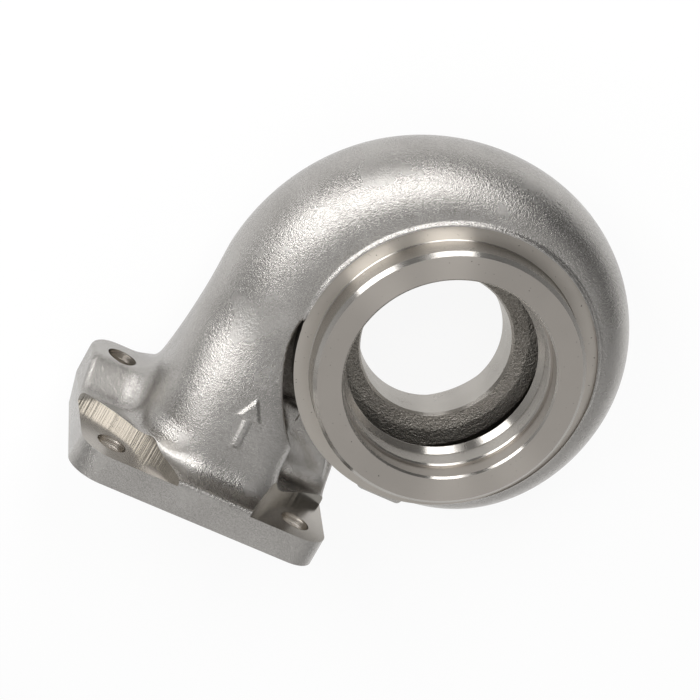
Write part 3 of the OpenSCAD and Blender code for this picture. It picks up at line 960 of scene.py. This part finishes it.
# %% Room
PALE_WAY, MIDDLE_LEVEL, DARKEST = (0.04, -0.5, 0.4), 0.18, 0.12
WHITE = (1, 1, 1, 1)
world = bpy.data.worlds.new("studio")
world.use_nodes = True
tree = world.node_tree
tree.nodes.clear()
direction = add(tree, "ShaderNodeTexCoord").outputs["Generated"]
to_pale = add(tree, "ShaderNodeVectorMath", {0: direction, 1: PALE_WAY}, operation="DOT_PRODUCT")
level = add(tree, "ShaderNodeMath", {0: to_pale.outputs["Value"], 1: MIDDLE_LEVEL}, operation="ADD")
level = add(tree, "ShaderNodeMath", {0: level.outputs[0], 1: DARKEST}, operation="MAXIMUM")
room = add(tree, "ShaderNodeBackground", {"Color": WHITE, "Strength": level.outputs[0]})
add(tree, "ShaderNodeOutputWorld", {"Surface": room.outputs["Background"]})
bpy.context.scene.world = world
print("room levels from", DARKEST, "up")

# %% [markdown]
# ## Paper floor
# A lit sheet that is white enough for the picture would burn out the part. So the paper glows by
# itself, but only for the camera and for reflections in the metal, and the lamps' shadow still falls
# on the tenth part that is plain paper. It is white round the part and painted pale grey far away,
# as shade where the lamps' light would fall off, because a bright floor up to the horizon would wash
# out the scroll's sides.

# %% Floor
FLOOR_HALF = 3.0
FLOOR_GAP = 0.0002  # keeps the paper and the outlet face from lying in one plane
corners = [(-FLOOR_HALF, -FLOOR_HALF, 0), (FLOOR_HALF, -FLOOR_HALF, 0),
           (FLOOR_HALF, FLOOR_HALF, 0), (-FLOOR_HALF, FLOOR_HALF, 0)]
floor_mesh = bpy.data.meshes.new("floor")
floor_mesh.from_pydata(corners, [], [(0, 1, 2, 3)])
floor = bpy.data.objects.new("floor", floor_mesh)
floor.location.z = -FLOOR_GAP
bpy.context.scene.collection.objects.link(floor)

# %% White paper
# Smooth uncoated paper: plain matt white, with no sheen of its own. Far from the part it is painted
# grey as shade.
WHITE_R, GREY_R = 220, 700
GLOW_SHARE = 0.9
paper = bpy.data.materials.new("white_paper")
paper.use_nodes = True
tree = paper.node_tree
tree.nodes.clear()
path = add(tree, "ShaderNodeLightPath")
seen = add(tree, "ShaderNodeMath", {
    0: path.outputs["Is Camera Ray"], 1: path.outputs["Is Glossy Ray"]}, operation="ADD")
seen = add(tree, "ShaderNodeMath", {
    0: seen.outputs[0], 1: path.outputs["Is Transmission Ray"]}, operation="ADD", use_clamp=True)
place = add(tree, "ShaderNodeTexCoord").outputs["Object"]
from_middle = add(tree, "ShaderNodeVectorMath", {0: place}, operation="LENGTH")
# Painted shade: the paper turns pale grey far from the part, where the lamps' light would fall off.
far = add(tree, "ShaderNodeMapRange", {
    "Value": from_middle.outputs["Value"], "From Min": WHITE_R * MM, "From Max": GREY_R * MM},
    interpolation_type="SMOOTHSTEP")
shade = add(tree, "ShaderNodeMix", {
    0: far.outputs["Result"], 6: WHITE, 7: colour("#b4b4b4")}, data_type="RGBA")
share = add(tree, "ShaderNodeMath", {0: seen.outputs[0], 1: GLOW_SHARE}, operation="MULTIPLY")
glow = add(tree, "ShaderNodeEmission", {"Color": shade.outputs[2], "Strength": 1.0})
sheet = add(tree, "ShaderNodeBsdfDiffuse", {"Color": shade.outputs[2]})
both = add(tree, "ShaderNodeMixShader", {
    0: share.outputs[0], 1: sheet.outputs[0], 2: glow.outputs[0]})
add(tree, "ShaderNodeOutputMaterial", {"Surface": both.outputs[0]})
floor_mesh.materials.append(paper)
print("paper white within", WHITE_R, "mm")

# %% [markdown]
# ## Softboxes
# The photo's bright bands on the scroll and its stripes on the bored walls show two tall lamps
# behind the part, one nearly opposite the flange and one further to the left. Rectangles of light
# at those angles give the same bands. Their strength is set against the paper: at strength 1 a lamp
# looks as bright as white paper does, whatever its size.


# %% Softboxes
LAMP_FAR = 1.3
AIM = Vector((0, 0, 0.05))  # the middle of the part, in metres


def softbox(name, round_deg, up_deg, size, strength):
    """Lamp at an angle round the part and above the floor."""
    a, e = math.radians(round_deg), math.radians(up_deg)
    place = Vector((math.cos(a) * math.cos(e), math.sin(a) * math.cos(e), math.sin(e))) * LAMP_FAR
    lamp = bpy.data.objects.new(name, bpy.data.lights.new(name, "AREA"))
    lamp.data.shape = "RECTANGLE"
    lamp.data.size, lamp.data.size_y = size
    lamp.data.energy = strength * math.pi * size[0] * size[1]
    lamp.location = place + AIM
    lamp.rotation_euler = (-place).to_track_quat("-Z", "Y").to_euler()
    bpy.context.scene.collection.objects.link(lamp)
    print(name, round(lamp.data.energy, 1), "W")


softbox("near_strip", 107, 40, (0.5, 1.0), 5.0)
softbox("left_strip", 159, 34, (0.55, 1.1), 4.8)

bpy.context.scene.view_settings.view_transform = "Standard"
